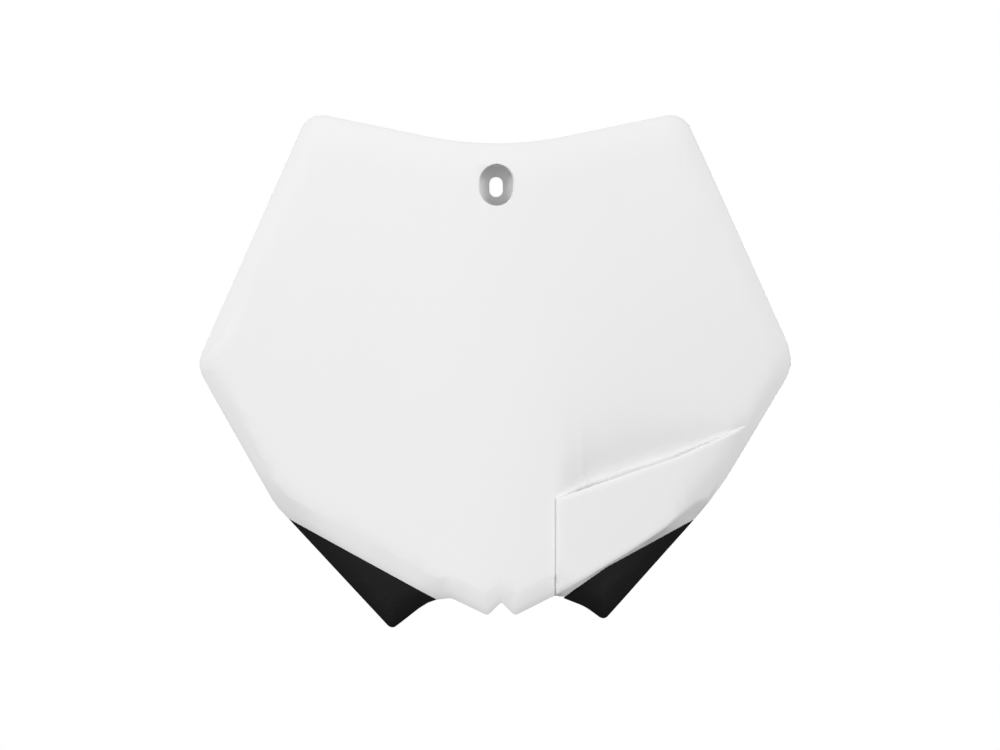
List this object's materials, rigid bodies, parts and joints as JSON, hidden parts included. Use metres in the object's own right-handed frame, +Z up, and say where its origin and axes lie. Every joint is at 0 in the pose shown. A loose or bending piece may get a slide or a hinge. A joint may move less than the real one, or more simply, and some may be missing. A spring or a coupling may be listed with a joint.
{
  "type": "front number plate",
  "caption": "Thin white moulded front number plate for an off-road motorcycle, with a screw pocket, a raised side panel and black lower corners.",
  "frame": {"origin": "centre of the screw slot, on the rear seat of its boss", "axes": "+X to the viewer's right across the plate, -Y out of its front face, +Z up"},
  "size_m": [0.2849, 0.031, 0.2461],
  "materials": {
    "white_plastic": "satin moulded plastic",
    "black_plastic": "matt moulded plastic"
  },
  "bodies": {
    "root": {"plate": "white_plastic", "corner_left": "black_plastic", "corner_right": "black_plastic"}
  },
  "joints": []
}
